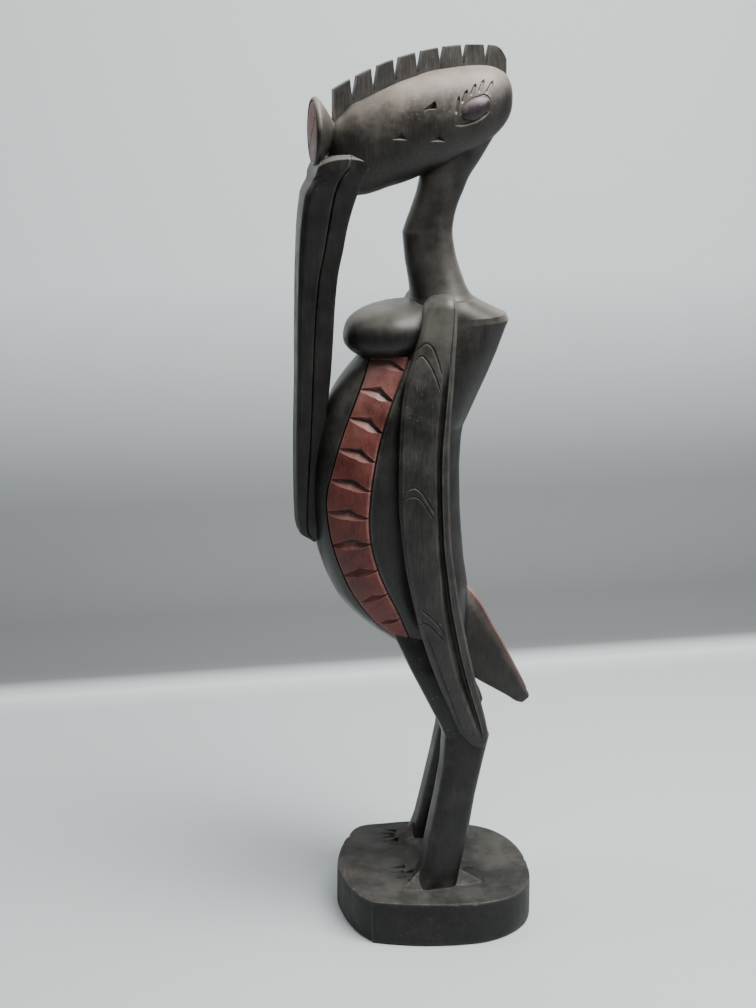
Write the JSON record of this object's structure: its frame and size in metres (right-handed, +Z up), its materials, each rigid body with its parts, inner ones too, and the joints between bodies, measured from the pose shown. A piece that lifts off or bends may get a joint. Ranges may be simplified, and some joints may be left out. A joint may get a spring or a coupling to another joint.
{
  "type": "carved hornbill figure",
  "caption": "Tall standing hornbill carved in dark stained wood, with a toothed comb, flared snout, long hanging beak, red scaled belly panels, folded wings and a round-cornered plinth.",
  "frame": {"origin": "on the plinth's flat underside, below the middle of the bird's body, which stands to one side of the plinth's middle", "axes": "+Z up the figure, -Y the way the bird faces, +X the bird's left side"},
  "size_m": [0.155, 0.1925, 0.6909],
  "materials": {
    "dark_wood": "satin",
    "red_stain": "matte"
  },
  "bodies": {
    "root": {"base_plinth": "dark_wood", "leg_left": "dark_wood", "leg_right": "dark_wood", "torso": "dark_wood", "belly_panel_left": "red_stain", "belly_panel_right": "red_stain", "chest": "dark_wood", "wing_left": "dark_wood", "wing_right": "dark_wood", "tail": "dark_wood", "tail_paint": "red_stain", "neck": "dark_wood", "head": "dark_wood", "comb": "dark_wood", "eye_left": "dark_wood", "eye_right": "dark_wood", "snout": "dark_wood", "snout_face": "red_stain", "beak_front": "dark_wood", "beak_back": "dark_wood"}
  },
  "joints": []
}
